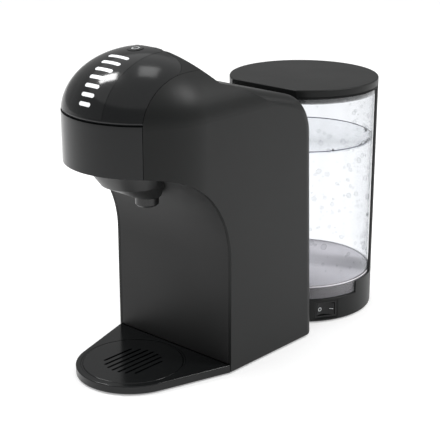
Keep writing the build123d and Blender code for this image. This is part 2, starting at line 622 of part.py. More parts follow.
# ---- hoses ----
hose_r = 3.0
pump_in, pump_out = pump_y + spout_half + 0.3, pump_y - spout_half - 0.3
suction_bend = pump_in + 5
pressure_bend = pump_out - 3.2
low_run, high_run, deck_run = 36.0, 141.0, HEAD_BOTTOM + 12
wall_run = -shelf_half - 6
meter_run = pump_z + 26
parts["suction_hose"] = tube([(pump_x, pump_in, pump_z), (pump_x, suction_bend, pump_z),
                              (pump_x, suction_bend, meter_run), (pump_x, meter_y, meter_run),
                              (pump_x, meter_y, meter_z - 13.2)], hose_r, 4)
parts["pressure_hose"] = tube([(pump_x, pump_out, pump_z), (pump_x, pressure_bend, pump_z),
                               (pump_x, pressure_bend, low_run),
                               (feed_x, pressure_bend, low_run),
                               (feed_x, feed_y, low_run),
                               (feed_x, feed_y, heater_low - 0.2)], hose_r, 2.5)
parts["brew_hose"] = tube([(feed_x, feed_y, heater_top + 0.2), (feed_x, feed_y, high_run),
                           (wall_run, feed_y, high_run), (wall_run, feed_y, deck_run),
                           (PORT_X, feed_y - 24, deck_run), (PORT_X, PORT_Y, deck_run),
                           (PORT_X, PORT_Y, port_low - 0.2)], hose_r, 8)

# ---- tank dock ----
dock = d_solid(DOCK_R, DOCK_Y, FOOT_H, DOCK_TOP)
dock = fillet(dock.edges().group_by(Axis.Z)[-1], 1.2)
dock = dock - d_solid(DOCK_R - WALL, DOCK_Y + WALL, 0, DOCK_TOP - WALL)
doorway = bridge_half + 0.4
dock = dock - block(-doorway, doorway, DOCK_Y - 1, DOCK_Y + 16, 0, floor_top)
socket_floor = DOCK_TOP - SOCKET_DEPTH
dock = dock + rod(SOCKET_R + 2, socket_floor - 2, DOCK_TOP - 1, 0, TANK_Y)
dock = dock - rod(SOCKET_R, socket_floor, DOCK_TOP + 1, 0, TANK_Y)
dock = dock - rod(3, 5, socket_floor + 3, 0, TANK_Y + 7)
collar_top = DOCK_TOP + COLLAR_H
collar = ring(DOCK_R, TANK_R + 0.6, DOCK_TOP - 2, collar_top, 0, TANK_Y)
dock = dock + (collar & block(-FAR, FAR, TANK_Y - 2, FAR, 0, FAR))
dock = dock + rod(1.5, socket_floor - 1, socket_floor + 5.4, 0, TANK_Y)

facing = math.radians(ROCKER_ANGLE)
aim = Plane(origin=(0, TANK_Y, 0), x_dir=(math.sin(facing), -math.cos(facing), 0),
            z_dir=(math.cos(facing), math.sin(facing), 0))
# in this plane local z points out of the dock, and local y is up or down the wall


def at_switch(shape):
    return aim.location * shape


# ---- power switch ----
face_r = DOCK_R - 1.4
z_mid = aim.y_dir.Z * ROCKER_Z
hole = Pos(0, z_mid, face_r - 10) * Box(ROCKER_W + 0.4, ROCKER_H + 0.4, 30)
flat_cut = Pos(0, z_mid, face_r + 10) * Box(ROCKER_W + 3, ROCKER_H + 2.6, 20)
dock = dock - at_switch(hole) - at_switch(flat_cut)
parts["base_plate"] = base - at_switch(hole)
pivot = Pos(0, z_mid, face_r - 3.2)
rocker_w, rocker_h = ROCKER_W - 4.6, ROCKER_H - 3.8
pin_h = ROCKER_H - 1.0
bezel = Pos(0, z_mid, face_r - 7) * Box(ROCKER_W, ROCKER_H, 14)
bezel = bezel - Pos(0, z_mid, face_r - 5) * Box(ROCKER_W - 3, ROCKER_H - 3, 12)
bezel = bezel - pivot * Rot(90, 0, 0) * Cylinder(ROCKER_PIN_R + HINGE_FIT, pin_h + 0.4)
parts["switch_bezel"] = at_switch(bezel)
dish_r = 15.0
key = Pos(0, 0, 0.4) * Box(rocker_w, rocker_h, 6.4)
key = key - Pos(0, 0, dish_r + 1.6) * Rot(90, 0, 0) * Cylinder(dish_r, 2 * ROCKER_H)
key = key + Rot(90, 0, 0) * Cylinder(ROCKER_PIN_R, pin_h)
parts["power_rocker"] = at_switch(pivot * Rot(0, ROCKER_TILT, 0) * key)

# ---- mains gland ----
gland_face = TANK_Y + math.sqrt(DOCK_R ** 2 - GLAND_X ** 2)
dock = dock - y_rod(GLAND_R + 0.2, gland_face - 18, gland_face + 18, GLAND_X, GLAND_Z)
parts["tank_dock"] = dock
gland = y_rod(GLAND_R, gland_face - 7.2, gland_face - 1.2, GLAND_X, GLAND_Z)
cord_hole = y_rod(2.6, gland_face - 15, gland_face + 15, GLAND_X, GLAND_Z)
parts["mains_gland"] = gland - cord_hole
parts["socket_seal"] = ring(SOCKET_R - 0.2, VALVE_R + FIT, socket_floor + 0.2,
                            socket_floor + 2.8, 0, TANK_Y)

# ---- tank ----
tank_flat_y = TANK_Y - TANK_FLAT
flare_top = TANK_R + TANK_FLARE


def tank_loft(t, z0, z1):
    low = Pos(0, 0, z0) * dock_outline(TANK_R - t, tank_flat_y + t)
    high = Pos(0, 0, z1) * dock_outline(flare_top - t, tank_flat_y + t - TANK_FLARE)
    return loft([low, high], ruled=True)


neck_out = 6.0
under_r, under_y = TANK_R - TANK_WALL - 0.5, tank_flat_y + TANK_WALL + 0.5
shell = tank_loft(0, TANK_FOOT, TANK_TOP)
shell = shell - tank_loft(TANK_WALL, TANK_FLOOR_Z, TANK_TOP + 0.01)
shell = shell - d_solid(under_r, under_y, TANK_FOOT - 1, TANK_FLOOR_Z - 2.5)
parts["tank_shell"] = shell - rod(neck_out + 0.2, DOCK_TOP, TANK_FLOOR_Z + 1, 0, TANK_Y)

# ---- tank valve, held open by the pin in the dock's socket ----
valve_low = socket_floor + 3.2
valve_top = TANK_FLOOR_Z - 2.6
spring_seat = socket_floor + 7.4
valve = rod(VALVE_R, valve_low, valve_top, 0, TANK_Y)
valve = valve + rod(neck_out, valve_top - 1, TANK_FLOOR_Z + 1, 0, TANK_Y)
valve = valve - rod(4.6, spring_seat, FAR, 0, TANK_Y) - rod(2.4, 0, FAR, 0, TANK_Y)
parts["valve_body"] = valve
plunger = rod(1.9, socket_floor + 5.6, TANK_FLOOR_Z + 2.4, 0, TANK_Y)
disc = rod(5.6, TANK_FLOOR_Z + 1.8, TANK_FLOOR_Z + 3.4, 0, TANK_Y)
parts["valve_plunger"] = plunger + disc
parts["valve_spring"] = coil(3.4, 0.3, spring_seat + 0.6, TANK_FLOOR_Z + 1.2, 6, 0, TANK_Y)

# ---- black tank frame: rim under the lid and four rails ----
frame_out = flare_top + FRAME_T + 0.1
frame_flat = tank_flat_y - TANK_FLARE - 0.1
rail_low, rail_high = collar_top + 0.2, TANK_TOP - 1
inside_frame = d_solid(flare_top + 0.1, frame_flat, 0, FAR)
tank_frame = d_solid(frame_out, frame_flat - FRAME_T, TANK_TOP - RIM_H, TANK_TOP) - inside_frame
rail_skin = d_solid(frame_out, frame_flat - FRAME_T, rail_low, rail_high) - inside_frame
rear_from = frame_out * math.cos(math.radians(RAIL_TO))
rear_to = frame_out * math.cos(math.radians(RAIL_FROM))
front_to = FRONT_RAIL_X + FRONT_RAIL_W
for side in (1, -1):
    front_bar = block(FRONT_RAIL_X, front_to, frame_flat - 5, frame_flat + 5, 0, FAR)
    rear_bar = block(rear_from, rear_to, TANK_Y + 5, TANK_Y + DOCK_R, 0, FAR)
    for bar in (front_bar, rear_bar):
        piece = bar if side == 1 else mirror(bar, Plane.YZ)
        tank_frame = tank_frame + (rail_skin & piece)
parts["tank_frame"] = tank_frame

# ---- tank lid with its skirt and seal ----
plug_gap = 1.2
inner_r = flare_top - TANK_WALL
inner_flat = tank_flat_y + TANK_WALL - TANK_FLARE
lid = d_solid(DOCK_R, tank_flat_y - plug_gap, LID_Z, LID_TOP)
lid = fillet(lid.edges().group_by(Axis.Z)[-1], 1.2)
plug_flat = inner_flat + plug_gap + 0.4
plug_low = LID_Z - PLUG_H
plug = d_solid(inner_r - plug_gap, plug_flat, plug_low, LID_Z + 0.5)
plug_core = d_solid(inner_r - plug_gap - 1.8, plug_flat + 1.8, plug_low - 1, LID_Z)
parts["tank_lid"] = lid + (plug - plug_core)
seal_low, seal_high = LID_Z - 3.4, LID_Z - 1.8
seal = d_solid(inner_r - FIT, inner_flat + 0.7, seal_low, seal_high)
seal_core = d_solid(inner_r - plug_gap + 0.05, plug_flat - 0.05, seal_low - 1, seal_high + 1)
parts["lid_seal"] = seal - seal_core

for node, shape in parts.items():
    export_step(Pos(0, -Y_MIDDLE, 0) * shape, "parts/" + node + ".step")
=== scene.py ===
"""Looks of a pod coffee machine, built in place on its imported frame.

The frame holds every working part.  This script gives each part its finish, and adds what
only shows: the water and its droplets, the printed marks, and the studio.
"""

import json
import math

import bmesh
import bpy
from bpy.props import FloatProperty, FloatVectorProperty, IntProperty, PointerProperty
from bpy.types import Operator, Panel, PropertyGroup
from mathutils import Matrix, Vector
from mathutils.bvhtree import BVHTree


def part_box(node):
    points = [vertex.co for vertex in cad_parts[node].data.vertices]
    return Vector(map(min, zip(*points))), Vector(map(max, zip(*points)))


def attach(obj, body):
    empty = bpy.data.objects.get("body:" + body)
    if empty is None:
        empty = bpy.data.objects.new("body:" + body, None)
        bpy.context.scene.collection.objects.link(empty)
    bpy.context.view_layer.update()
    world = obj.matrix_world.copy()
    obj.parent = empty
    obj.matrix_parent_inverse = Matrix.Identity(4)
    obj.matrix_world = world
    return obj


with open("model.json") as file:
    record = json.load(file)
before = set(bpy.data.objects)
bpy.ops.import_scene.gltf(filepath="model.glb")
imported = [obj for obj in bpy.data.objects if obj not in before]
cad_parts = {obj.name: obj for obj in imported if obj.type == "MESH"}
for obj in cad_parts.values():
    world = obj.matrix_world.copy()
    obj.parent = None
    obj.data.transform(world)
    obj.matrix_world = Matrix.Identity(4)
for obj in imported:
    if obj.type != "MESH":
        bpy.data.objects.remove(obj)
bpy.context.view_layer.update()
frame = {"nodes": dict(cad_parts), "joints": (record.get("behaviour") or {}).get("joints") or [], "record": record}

bl_info = {
    "name": "Pod coffee machine looks",
    "version": (1, 0, 0),
    "blender": (4, 5, 0),
    "location": "3D View > Sidebar > Coffee machine",
    "description": "Finishes, water, marks and studio for a packed pod coffee machine",
    "category": "Object",
}

NODES = frame["nodes"]
SLOT_OF = {part["node"]: part["material_slot"] for part in frame["record"]["subparts"]}
JOINTS = {joint["name"]: joint for joint in frame["joints"]}
MM = 0.001

TANK_LOW, TANK_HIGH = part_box("tank_shell")
DOCK_LOW, DOCK_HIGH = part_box("tank_dock")
DOCK_R = (DOCK_HIGH.x - DOCK_LOW.x) / 2
TANK_Y = DOCK_HIGH.y - DOCK_R
VALVE_CLEAR = 30 * MM
UP = Vector((0, 0, 1))
DOWN = -UP

# How finely round shapes are cut, in steps.
WATER_STEPS = 192
WALL_STEPS = 120
WALL_ROWS = 12
CHAIN_STEPS = 40
RING_STEPS = 40
BAR_STEPS = 8

# Droplets: room left at the wall's foot and top, least spacing, and the power that
# makes small ones the most common.
BEAD_MARGIN_LOW = 4 * MM
BEAD_MARGIN_TOP = 12 * MM
BEAD_SPACING = 3.2 * MM
SMALL_BEADS = 2.2

# Softboxes: name, the setting that gives its power and its share of that, width and
# height in metres, degrees round from the front, degrees up, and metres from the machine.
SOFTBOXES = (
    ("key", "key", 1.0, (0.28, 0.4), -64, 57, 1.5),
    ("overhead", "overhead", 1.0, (0.4, 0.5), -141, 80, 1.6),
    ("shoulder", "rim", 2.6, (0.3, 0.6), 119, 46, 1.5),
    ("roof", "rim", 0.6, (0.5, 0.4), 146, 24, 1.6),
)
FILL_SPREAD = math.radians(110)
FILL_TILT = math.radians(88)
FILL_DISTANCE = 2.0
FLOOR_HALF = 9.0


# ---- sizes and colours that a user may change ----


class CasingLooks(PropertyGroup):
    """Colours and gloss of the moulded casing."""

    satin: FloatVectorProperty(
        name="Satin casing", description="Colour of the side panels, lid and dock",
        subtype="COLOR", min=0, max=1, default=(0.0060, 0.0066, 0.0064))
    gloss: FloatVectorProperty(
        name="Polished casing", description="Colour of the hood, head front and tray",
        subtype="COLOR", min=0, max=1, default=(0.0062, 0.0068, 0.0071))
    lining: FloatVectorProperty(
        name="Cup bay lining", description="Colour of the lining behind the cup",
        subtype="COLOR", min=0, max=1, default=(0.0085, 0.0088, 0.0088))
    satin_roughness: FloatProperty(
        name="Satin roughness", description="Roughness of the satin casing",
        min=0, max=1, default=0.42)
    gloss_roughness: FloatProperty(
        name="Polish roughness", description="Roughness of the polished casing",
        min=0, max=1, default=0.17)
    grain: FloatProperty(
        name="Mould grain", description="Width of one grain of the satin texture",
        subtype="DISTANCE", min=0.0001, max=0.005, default=0.0007)


class WaterSizes(PropertyGroup):
    """How full the tank is, and what clings to its wall."""

    fill: FloatProperty(
        name="Water level", description="Share of the clear wall's height under water",
        subtype="FACTOR", min=0.1, max=0.9, default=0.735)
    depth: FloatProperty(
        name="Surface layer", description="Depth of the modelled layer of water",
        subtype="DISTANCE", min=0.0005, max=0.02, default=0.0015)
    beads: IntProperty(
        name="Droplets", description="Number of droplets and air bubbles on the wall",
        min=0, max=900, default=420)
    bead_size: FloatProperty(
        name="Largest droplet", description="Radius of the largest droplet",
        subtype="DISTANCE", min=0.0005, max=0.005, default=0.0029)
    line_bubbles: IntProperty(
        name="Bubbles on the water line", description="Number of bubbles along the water's edge",
        min=0, max=60, default=14)
    band: FloatProperty(
        name="Smoked band", description="Height of the smoked band under the lid",
        subtype="DISTANCE", min=0.001, max=0.03, default=0.006)
    seed: IntProperty(
        name="Seed", description="Fixed seed of the droplets' places", min=0, max=999, default=7)


class MarkSizes(PropertyGroup):
    """Printed marks on the switch and the start button."""

    ring: FloatProperty(
        name="Button ring", description="Radius of the ring on the start button",
        subtype="DISTANCE", min=0.001, max=0.006, default=0.0028)
    line: FloatProperty(
        name="Line width", description="Width of a printed line",
        subtype="DISTANCE", min=0.0002, max=0.002, default=0.0006)
    switch_ring: FloatProperty(
        name="Switch ring", description="Radius of the ring on the rocker",
        subtype="DISTANCE", min=0.0005, max=0.004, default=0.0015)


class StudioSizes(PropertyGroup):
    """Camera and lights."""

    turn: FloatProperty(
        name="Camera turn", description="Camera's place round the machine, from its front",
        subtype="ANGLE", default=math.radians(42.0))
    tilt: FloatProperty(
        name="Camera height", description="Camera's angle above the machine",
        subtype="ANGLE", default=math.radians(18.67))
    distance: FloatProperty(
        name="Camera distance", description="From the camera to the point that it looks at",
        subtype="DISTANCE", min=0.3, default=1.0507)
    target: FloatVectorProperty(
        name="Camera target", description="Point that the camera looks at",
        subtype="TRANSLATION", default=(-0.00575, -0.00605, 0.1004))
    lens: FloatProperty(
        name="Lens", description="Focal length, in millimetres, for a 36 mm sensor",
        min=10, max=300, default=99.56)
    sky: FloatProperty(
        name="Sky", description="Strength of the even white light all round",
        min=0, max=5, default=0.40)
    fill: FloatProperty(
        name="Fill light", description="Strength of the very soft light from above",
        min=0, max=20, default=1.1)
    key: FloatProperty(
        name="Key light", description="Power of the softbox at the front left",
        min=0, max=100, default=8.5)
    overhead: FloatProperty(
        name="Overhead light", description="Power of the overhead softbox",
        min=0, max=100, default=2.2)
    rim: FloatProperty(
        name="Rim light", description="Power of the softboxes behind the right shoulder",
        min=0, max=100, default=3.4)
    glow: FloatProperty(
        name="Floor glow", description="How much the floor lights itself, like a light table",
        min=0, max=2, default=0.32)


# ---- shader nodes ----


class Wire:
    """One output of a shader node; arithmetic on it adds Math nodes."""

    def __init__(self, shader, socket):
        self.shader = shader
        self.socket = socket

    def math(self, operation, first, second=0.0):
        return self.shader.add(
            "ShaderNodeMath", {"operation": operation}, {0: first, 1: second})

    def __add__(self, other):
        return self.math("ADD", self, other)

    __radd__ = __add__

    def __sub__(self, other):
        return self.math("SUBTRACT", self, other)

    def __rsub__(self, other):
        return self.math("SUBTRACT", other, self)

    def __mul__(self, other):
        return self.math("MULTIPLY", self, other)

    __rmul__ = __mul__

    def __pow__(self, power):
        return self.math("POWER", self, power)

    def between(self, low, high):
        """0 at low, 1 at high, and smooth between them."""
        settings = {"interpolation_type": "SMOOTHSTEP"}
        values = {"Value": self, "From Min": low, "From Max": high}
        return self.shader.add("ShaderNodeMapRange", settings, values)


class Shader:
    """A material being built, on object coordinates in metres."""

    def __init__(self, name):
        self.material = bpy.data.materials.new(name)
        self.material.use_nodes = True
        self.tree = self.material.node_tree
        self.tree.nodes.clear()
        self.place = self.add("ShaderNodeTexCoord", output="Object")

    def add(self, kind, settings=None, values=None, output=0):
        """Adds a node, sets it up, feeds its sockets, and returns one of its outputs."""
        node = self.tree.nodes.new(kind)
        for name, value in (settings or {}).items():
            setattr(node, name, value)
        for name, value in (values or {}).items():
            if isinstance(value, Wire):
                self.tree.links.new(value.socket, node.inputs[name])
            else:
                node.inputs[name].default_value = value
        return Wire(self, node.outputs[output])

    def noise(self, size, detail=2.0, roughness=0.5, place=None):
        """Even noise from 0 to 1, whose features are about size metres wide."""
        values = {"Vector": place or self.place, "Scale": 1 / size, "Detail": detail,
                  "Roughness": roughness}
        return self.add("ShaderNodeTexNoise", None, values)

    def blend(self, factor, first, second):
        """A colour between two colours."""
        values = {0: factor, 6: rgba(first), 7: rgba(second)}
        return self.add("ShaderNodeMix", {"data_type": "RGBA"}, values, output=2)

    def bump(self, height, depth):
        values = {"Height": height, "Distance": depth, "Strength": 1.0}
        return self.add("ShaderNodeBump", None, values)

    def principled(self, values):
        return self.add("ShaderNodeBsdfPrincipled", None, values)

    def mix(self, factor, first, second):
        return self.add("ShaderNodeMixShader", None, {0: factor, 1: first, 2: second})

    def facing(self):
        """0 where a surface faces the eye and 1 where it turns away."""
        return self.add("ShaderNodeLayerWeight", None, {"Blend": 0.5}, output="Facing")

    def finish(self, surface):
        node = self.tree.nodes.new("ShaderNodeOutputMaterial")
        self.tree.links.new(surface.socket, node.inputs["Surface"])
        return self.material


def rgba(colour):
    """A plain colour with its alpha; a wire stays as it is."""
    return colour if isinstance(colour, Wire) else (*colour[:3], 1.0)


def shade(colour, factor):
    return tuple(min(1.0, channel * factor) for channel in colour)


# ---- finishes ----


def moulded(name, colour, roughness, grain, depth, mottle=0.10, specular=0.5):
    """Moulded plastic: fine grain, a little flow mottle, and uneven gloss."""
    s = Shader(name)
    flow = s.noise(0.045, detail=3)
    fine = s.noise(grain, detail=2, roughness=0.6)
    tone = s.blend(flow, shade(colour, 1 - mottle), shade(colour, 1 + mottle))
    gloss = roughness + (flow - 0.5) * 0.10 + (fine - 0.5) * 0.04
    surface = s.principled({
        "Base Color": tone, "Roughness": gloss, "Normal": s.bump(fine, depth),
        "Specular IOR Level": specular})
    return s.finish(surface)


def polished(name, colour, roughness, specular=0.5):
    """Polished plastic: long slow waves in the surface, and faint wiping marks."""
    s = Shader(name)
    waves = s.noise(0.012, detail=1)
    values = {"Vector": s.place, "Scale": (1.0, 9.0, 3.0)}
    stretched = s.add("ShaderNodeMapping", None, values)
    wiping = s.noise(0.012, detail=4, roughness=0.65, place=stretched)
    gloss = roughness + (wiping - 0.5) * 0.09
    tone = s.blend(waves, shade(colour, 0.92), shade(colour, 1.08))
    surface = s.principled({
        "Base Color": tone, "Roughness": gloss, "Normal": s.bump(waves, 0.00002),
        "Specular IOR Level": specular})
    return s.finish(surface)


def casing_satin():
    looks = bpy.context.scene.casing_looks
    return moulded("casing_satin", looks.satin, looks.satin_roughness, looks.grain,
                   depth=0.00002, specular=0.24)


def casing_gloss():
    looks = bpy.context.scene.casing_looks
    return polished("casing_gloss", looks.gloss, looks.gloss_roughness, specular=0.31)


def strip_gloss():
    looks = bpy.context.scene.casing_looks
    return polished("smoked_strip", shade(looks.gloss, 1.1), roughness=0.13, specular=0.42)


def lining_texture():
    looks = bpy.context.scene.casing_looks
    return moulded("bay_lining_texture", looks.lining, roughness=0.5, grain=0.0009,
                   depth=0.00004, specular=0.35)


def lit_lens():
    """Milky lens with a lamp behind it."""
    s = Shader("lit_lens")
    cloud = s.noise(0.002, detail=2)
    tone = s.blend(cloud, (0.86, 0.88, 0.90), (0.95, 0.96, 0.97))
    surface = s.principled({
        "Base Color": tone, "Roughness": 0.3 + (cloud - 0.5) * 0.1,
        "Emission Color": tone, "Emission Strength": 0.15})
    return s.finish(surface)


def clear_wall():
    """Clear moulded wall, with a frosted floor and foot, a smoked band at its top, and faint vertical bands of
    painted reflection.
    """
    sizes = bpy.context.scene.water_sizes
    s = Shader("clear_wall")
    height = s.add("ShaderNodeSeparateXYZ", None, {0: s.place}, output="Z")
    floor_top = tank_floor()
    flow = s.noise(0.03, detail=2)
    # Painted reflection: faint vertical bands, stretched upright, that mix in the grey skin where the noise runs
    # high.
    upright = s.add("ShaderNodeMapping", None, {"Vector": s.place, "Scale": (1, 1, 0.02)})
    painted_reflection_bands = s.noise(0.03, detail=3, place=upright).between(0.48, 0.75)
    clear = s.add("ShaderNodeBsdfTransparent", None, {"Color": (0.935, 0.94, 0.948, 1)})
    skin = s.principled({
        "Base Color": (0.70, 0.72, 0.75, 1), "Roughness": 0.06 + flow * 0.04,
        "Specular IOR Level": 0.5})
    turned = s.facing() ** 3.0
    wall = s.mix(0.015 + painted_reflection_bands * 0.10 + turned * 0.5, clear, skin)
    frost = s.noise(0.0008, detail=2)
    frosted = s.principled({
        "Base Color": s.blend(frost, (0.90, 0.87, 0.92), (0.97, 0.94, 0.98)),
        "Roughness": 0.45 + frost * 0.2, "Normal": s.bump(frost, 0.00003)})
    foot = 1 - height.between(floor_top + 0.2 * MM, floor_top + 0.6 * MM)
    on_floor = height.between(floor_top - 1.2 * MM, floor_top - 0.4 * MM)
    foot_frost, floor_frost, smoke = 0.10, 0.76, 0.72
    footed = s.mix(foot * (foot_frost + on_floor * floor_frost), wall, frosted)
    band_low = TANK_HIGH.z - sizes.band
    band = height.between(band_low - 0.3 * MM, band_low + 0.3 * MM)
    smoked = s.principled({
        "Base Color": s.blend(frost, (0.10, 0.103, 0.106), (0.15, 0.153, 0.156)),
        "Roughness": 0.12 + frost * 0.1})
    return s.finish(s.mix(band * smoke, footed, smoked))


def matt_frame():
    """Finely textured black of the tank's frame, with little shine at its edges."""
    return moulded("matt_frame", (0.012, 0.0125, 0.0125), roughness=0.6, grain=0.0006,
                   depth=0.00002, specular=0.06)


def plain_plastic():
    return moulded("natural_plastic", (0.42, 0.43, 0.42), roughness=0.45, grain=0.0008,
                   depth=0.00003, mottle=0.05)


def brewing_plastic():
    looks = bpy.context.scene.casing_looks
    return moulded("brewing_plastic", shade(looks.lining, 1.1), roughness=0.36,
                   grain=0.0006, depth=0.00001)


def bright_steel():
    """Drawn steel, with fine lines along X."""
    s = Shader("bright_steel")
    stretched = s.add("ShaderNodeMapping", None, {"Vector": s.place, "Scale": (1, 18, 18)})
    lines = s.noise(0.004, detail=4, roughness=0.7, place=stretched)
    surface = s.principled({
        "Base Color": s.blend(lines, (0.50, 0.50, 0.51), (0.62, 0.62, 0.63)),
        "Metallic": 1.0, "Roughness": 0.22 + lines * 0.15,
        "Normal": s.bump(lines, 0.000004)})
    return s.finish(surface)


def cast_aluminium():
    """As-cast aluminium: coarse grain and dull patches."""
    s = Shader("cast_aluminium")
    grain = s.noise(0.0011, detail=4, roughness=0.7)
    patch = s.noise(0.02, detail=2)
    surface = s.principled({
        "Base Color": s.blend(patch, (0.48, 0.48, 0.49), (0.64, 0.64, 0.65)),
        "Metallic": 1.0, "Roughness": 0.42 + grain * 0.25,
        "Normal": s.bump(grain, 0.00012)})
    return s.finish(surface)


def circuit_board():
    """Green lacquered board with fine copper tracks."""
    s = Shader("circuit_board")
    cells = s.add("ShaderNodeTexBrick", {"offset": 0.35}, {
        "Vector": s.place, "Scale": 260.0, "Mortar Size": 0.028, "Color1": (0, 0, 0, 1),
        "Color2": (0, 0, 0, 1), "Mortar": (1, 1, 1, 1)}, output="Fac")
    tracks = s.blend(cells, (0.012, 0.095, 0.035), (0.10, 0.20, 0.05))
    surface = s.principled({
        "Base Color": tracks, "Roughness": 0.28 + cells * 0.15,
        "Normal": s.bump(cells, 0.00004)})
    return s.finish(surface)


def black_rubber():
    return moulded("black_rubber", (0.012, 0.012, 0.012), roughness=0.72, grain=0.0005,
                   depth=0.00005, specular=0.3)


def milky_silicone():
    """Translucent tube and seal rubber."""
    s = Shader("milky_silicone")
    cloud = s.noise(0.006, detail=3)
    surface = s.principled({
        "Base Color": s.blend(cloud, (0.60, 0.60, 0.57), (0.74, 0.74, 0.71)),
        "Roughness": 0.38 + cloud * 0.15, "Subsurface Weight": 0.3,
        "Subsurface Scale": 0.002, "Normal": s.bump(cloud, 0.00005)})
    return s.finish(surface)


def white_print():
    """Screen print: slightly patchy white ink."""
    s = Shader("white_print")
    patch = s.noise(0.0004, detail=2)
    surface = s.principled({
        "Base Color": s.blend(patch, (0.62, 0.64, 0.65), (0.80, 0.82, 0.83)),
        "Roughness": 0.45 + patch * 0.1})
    return s.finish(surface)


def see_through(name, through, body, least, most, power):
    """Something clear that shows where its surface turns away from the eye."""
    s = Shader(name)
    ripple = s.noise(0.005, detail=2)
    clear = s.add("ShaderNodeBsdfTransparent", None, {"Color": rgba(through)})
    skin = s.principled({"Base Color": rgba(body), "Roughness": 0.04 + ripple * 0.04})
    turned = s.facing() ** power
    return s.finish(s.mix(least + turned * (most - least), clear, skin))


def water_side():
    return see_through("water_side", through=(0.985, 0.99, 0.995), body=(0.75, 0.78, 0.82),
                       least=0.0, most=0.25, power=4.0)


def water_top():
    return see_through("water_top", through=(0.965, 0.97, 0.98), body=(0.60, 0.63, 0.67),
                       least=0.02, most=0.25, power=3.0)


def meniscus_painted_shade():
    # Painted shade: a dark line on the water's raised rim at the wall, in place of the dark edge that refraction
    # gives there.
    return see_through("meniscus_painted_shade", through=(0.42, 0.43, 0.52), body=(0.07, 0.07, 0.10),
                       least=0.35, most=0.9, power=1.5)


def droplet():
    """A bead of water: clear in its middle, with a painted dark rim in place of the shade seen through its edge,
    and a gloss.
    """
    s = Shader("droplet")
    ripple = s.noise(0.002, detail=1)
    clear = s.add("ShaderNodeBsdfTransparent", None, {"Color": (0.985, 0.988, 0.99, 1)})
    skin = s.principled({
        "Base Color": s.blend(ripple, (0.035, 0.037, 0.042), (0.055, 0.057, 0.065)),
        "Roughness": 0.05 + ripple * 0.03})
    # Painted shade: the dark skin shows at the rim, where the bead turns away from the eye.
    rim = s.facing().between(0.45, 0.95)
    middle_shows, painted_rim_shade = 0.03, 0.9
    return s.finish(s.mix(middle_shows + rim * painted_rim_shade, clear, skin))


FINISHES = {
    "case_satin": casing_satin,
    "case_gloss": casing_gloss,
    "strip_gloss": strip_gloss,
    "lens_white": lit_lens,
    "lining_black": lining_texture,
    "clear_tank": clear_wall,
    "inner_plastic": plain_plastic,
    "brew_black": brewing_plastic,
    "steel": bright_steel,
    "cast_aluminium": cast_aluminium,
    "circuit_green": circuit_board,
    "rubber_black": black_rubber,
    "silicone": milky_silicone,
}


def paint(node, material):
    mesh = NODES[node].data
    mesh.materials.clear()
    mesh.materials.append(material)


def finish_slots(*slots):
    """Gives every part of these material slots its finish."""
    for slot in slots:
        material = FINISHES[slot]()
        for node in sorted(name for name, used in SLOT_OF.items() if used == slot):
            paint(node, material)


# ---- finding places on the frame's surfaces ----


def surface_of(node):
    """A part's surface, for casting lines onto it."""
    mesh = NODES[node].data
    mesh.calc_loop_triangles()
    points = [vertex.co for vertex in mesh.vertices]
    return BVHTree.FromPolygons(points, [tri.vertices for tri in mesh.loop_triangles])


def hit(surface, start, direction):
    point = surface.ray_cast(start, direction)[0]
    if point is None:
        raise RuntimeError(f"no surface from {tuple(start)} along {tuple(direction)}")
    return point


def tank_floor():
    """Height of the tank's floor, beside the valve."""
    shell = surface_of("tank_shell")
    beside_valve = Vector((VALVE_CLEAR, TANK_Y, (TANK_LOW.z + TANK_HIGH.z) / 2))
    return hit(shell, beside_valve, DOWN).z


def wall_ring(shell, height, inset, angles):
    """Points round the inside of the tank's wall at one height."""
    middle = Vector((0, TANK_Y, height))
    ring = []
    for angle in angles:
        out = Vector((math.cos(angle), math.sin(angle), 0))
        ring.append(hit(shell, middle, out) - out * inset)
    return ring


def round_angles(count):
    return [2 * math.pi * k / count for k in range(count)]


def water_level():
    fill = bpy.context.scene.water_sizes.fill
    return TANK_LOW.z + fill * (TANK_HIGH.z - TANK_LOW.z)


# ---- mesh work ----


def new_piece(name, mesh, material=None):
    """Puts a mesh in the scene, at the origin."""
    piece = bpy.data.objects.new(name, mesh)
    bpy.context.scene.collection.objects.link(piece)
    if material is not None:
        mesh.materials.append(material)
    return piece


def skin_rings(rings):
    """Joins closed rings of points with quads; returns the bmesh and its rows of corners."""
    shape = bmesh.new()
    rows = [[shape.verts.new(point) for point in ring] for ring in rings]
    for low, high in zip(rows, rows[1:]):
        for k in range(len(low)):
            after = (k + 1) % len(low)
            shape.faces.new((low[k], low[after], high[after], high[k]))
    return shape, rows


def to_mesh(shape, name, smooth=True):
    """Turns a bmesh into a mesh whose faces point outwards."""
    bmesh.ops.recalc_face_normals(shape, faces=shape.faces)
    mesh = bpy.data.meshes.new(name)
    for face in shape.faces:
        face.smooth = smooth
    shape.to_mesh(mesh)
    shape.free()
    return mesh


